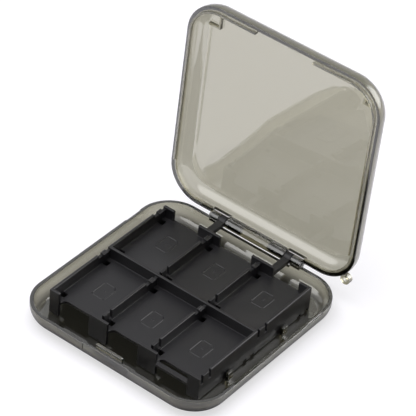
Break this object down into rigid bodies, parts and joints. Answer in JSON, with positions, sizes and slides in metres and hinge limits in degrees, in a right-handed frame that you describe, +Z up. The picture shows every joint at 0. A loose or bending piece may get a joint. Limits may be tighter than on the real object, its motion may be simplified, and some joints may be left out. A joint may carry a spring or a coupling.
{
  "type": "memory card case",
  "caption": "Rounded square memory card case: smoke-clear shells on one hinge, with a black double-sided card tray that flips up between them, a front latch and a strap eye.",
  "frame": {"origin": "middle of the base shell's flat underside", "axes": "+X along the hinge towards the strap eye's side, +Y from the front latch to the hinge, +Z up out of the base"},
  "size_m": [0.088, 0.1025, 0.098],
  "materials": {
    "smoke_clear": "clear gloss",
    "black_tray": "satin",
    "black_pin": "satin"
  },
  "bodies": {
    "base": {"base_shell": "smoke_clear"},
    "tray": {"card_tray": "black_tray", "left_hinge_pin": "black_pin", "right_hinge_pin": "black_pin"},
    "lid": {"lid_shell": "smoke_clear"}
  },
  "joints": [
    {"name": "tray_flip", "type": "hinge", "parent": "base", "child": "tray", "pos_m": [0, 0.0454, 0.00808], "axis": [-1, 0, 0], "range_deg": [0, 80]},
    {"name": "lid_hinge", "type": "hinge", "parent": "tray", "child": "lid", "pos_m": [0, 0.0454, 0.00808], "axis": [-1, 0, 0], "range_deg": [-93, 0]}
  ]
}
